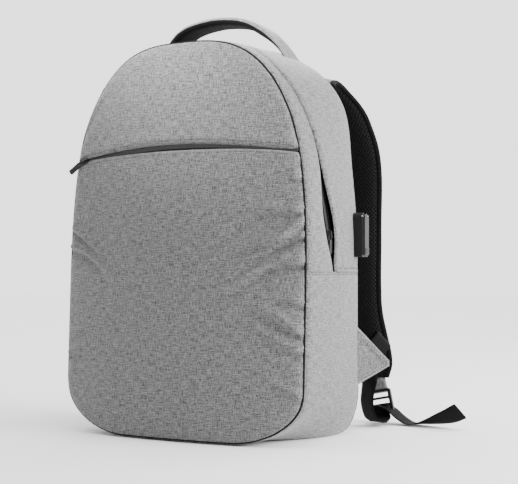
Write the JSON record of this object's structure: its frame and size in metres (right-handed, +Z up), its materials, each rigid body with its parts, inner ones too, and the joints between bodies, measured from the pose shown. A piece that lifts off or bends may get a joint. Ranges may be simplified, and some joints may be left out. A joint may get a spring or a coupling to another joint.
{
  "type": "solar backpack",
  "caption": "Upright two-tone grey laptop backpack with an arched front pocket zip, hinged front flap, mesh shoulder straps, carry handle and side charging port.",
  "frame": {"origin": "middle of the base, on the surface that the bag stands on", "axes": "+Z up, -Y is the front panel, +Y is the back with the shoulder straps, +X is the side with the charging port"},
  "size_m": [0.509, 0.297, 0.4821],
  "materials": {
    "heather_fabric": "two-tone woven polyester, matt, light and dark grey threads",
    "lining": "thin smooth black polyester",
    "air_mesh": "black three-layer mesh with small oval holes",
    "webbing": "black woven polypropylene webbing",
    "zip_tape": "black zip tape with a fine coil",
    "black_plastic": "moulded black plastic, satin",
    "black_rubber": "soft black rubber",
    "dark_metal": "black lacquered zinc",
    "plated_steel": "nickel-plated steel",
    "foam_board": "grey foam board"
  },
  "bodies": {
    "root": {"lower_front_panel": "heather_fabric", "front_fold": "heather_fabric", "gusset_fold": "heather_fabric", "pocket_lining_fold": "lining", "pocket_lining_lower": "lining", "gusset_foot": "heather_fabric", "main_zip_foot": "zip_tape", "main_zip_rear": "zip_tape", "rear_gusset": "heather_fabric", "side_panel_right": "heather_fabric", "side_panel_left": "heather_fabric", "bottom_panel": "heather_fabric", "bottom_board": "foam_board", "back_panel": "air_mesh", "back_foam": "foam_board", "back_pad_right": "air_mesh", "back_pad_left": "air_mesh", "lumbar_pad": "air_mesh", "laptop_sleeve": "lining", "power_bank_pocket": "lining", "handle_foot_left": "heather_fabric", "handle_foot_right": "heather_fabric", "anchor_tab_right": "heather_fabric", "anchor_tab_left": "heather_fabric", "webbing_right": "webbing", "webbing_left": "webbing", "webbing_tail_right": "webbing", "webbing_tail_left": "webbing", "port_housing": "black_plastic", "usb_socket": "plated_steel", "port_backing_plate": "black_plastic", "cover_pin": "plated_steel", "usb_lead": "black_rubber", "usb_plug": "black_plastic"},
    "front_flap": {"upper_front_panel": "heather_fabric", "pocket_panel": "heather_fabric", "pocket_lining_upper": "lining", "front_gusset": "heather_fabric", "main_zip_front": "zip_tape", "pocket_zip_upper": "zip_tape", "pocket_zip_lower": "zip_tape"},
    "carry_handle": {"handle_strap": "heather_fabric", "handle_lining": "lining"},
    "strap_right": {"shoulder_strap_right": "heather_fabric", "strap_mesh_right": "air_mesh", "strap_tab_right": "heather_fabric", "ladder_lock_right": "black_plastic"},
    "strap_left": {"shoulder_strap_left": "heather_fabric", "strap_mesh_left": "air_mesh", "strap_tab_left": "heather_fabric", "ladder_lock_left": "black_plastic"},
    "slider_right": {"main_slider_right": "dark_metal"},
    "slider_left": {"main_slider_left": "dark_metal"},
    "pull_right": {"main_pull_right": "black_rubber"},
    "pull_left": {"main_pull_left": "black_rubber"},
    "slider_pocket": {"pocket_slider": "dark_metal"},
    "pull_pocket": {"pocket_pull": "black_rubber"},
    "cover": {"port_cover": "black_plastic"}
  },
  "joints": [
    {"name": "flap_fold", "type": "hinge", "parent": "root", "child": "front_flap", "pos_m": [0, -0.00866, 0.24], "axis": [1, 0, 0], "range_deg": [0, 45], "deforming": ["front_fold", "gusset_fold", "pocket_lining_fold"]},
    {"name": "handle_swing", "type": "hinge", "parent": "root", "child": "carry_handle", "pos_m": [0, 0.035, 0.447], "axis": [1, 0, 0], "range_deg": [-50, 50]},
    {"name": "strap_swing_right", "type": "hinge", "parent": "root", "child": "strap_right", "pos_m": [0.088, 0.08, 0.404], "axis": [1, 0, 0], "range_deg": [-9, 5]},
    {"name": "strap_swing_left", "type": "hinge", "parent": "root", "child": "strap_left", "pos_m": [-0.088, 0.08, 0.404], "axis": [1, 0, 0], "range_deg": [-9, 5]},
    {"name": "main_zip_right", "type": "slide", "parent": "root", "child": "slider_right", "axis": [0, -0.2411, 0.9705], "range_m": [0, 0.08]},
    {"name": "main_pull_hinge_right", "type": "hinge", "parent": "slider_right", "child": "pull_right", "pos_m": [0.1529, -0.00568, 0.228], "axis": [0, -1, 0], "range_deg": [0, 100]},
    {"name": "main_zip_left", "type": "slide", "parent": "root", "child": "slider_left", "axis": [0, -0.2411, 0.9705], "range_m": [0, 0.08]},
    {"name": "main_pull_hinge_left", "type": "hinge", "parent": "slider_left", "child": "pull_left", "pos_m": [-0.1529, -0.00568, 0.228], "axis": [0, 1, 0], "range_deg": [0, 100]},
    {"name": "pocket_zip", "type": "hinge", "parent": "front_flap", "child": "slider_pocket", "pos_m": [0, 0.41971, -0.03716], "axis": [0, 0.5914, 0.8064], "range_deg": [0, 25.5]},
    {"name": "pocket_pull_swing", "type": "hinge", "parent": "slider_pocket", "child": "pull_pocket", "pos_m": [-0.13761, -0.06587, 0.31693], "axis": [-0.5736, 0, 0.8192], "range_deg": [0, 110]},
    {"name": "port_cover_flip", "type": "hinge", "parent": "root", "child": "cover", "pos_m": [0.1656, 0.063, 0.251], "axis": [0, -1, 0], "range_deg": [0, 100]}
  ]
}
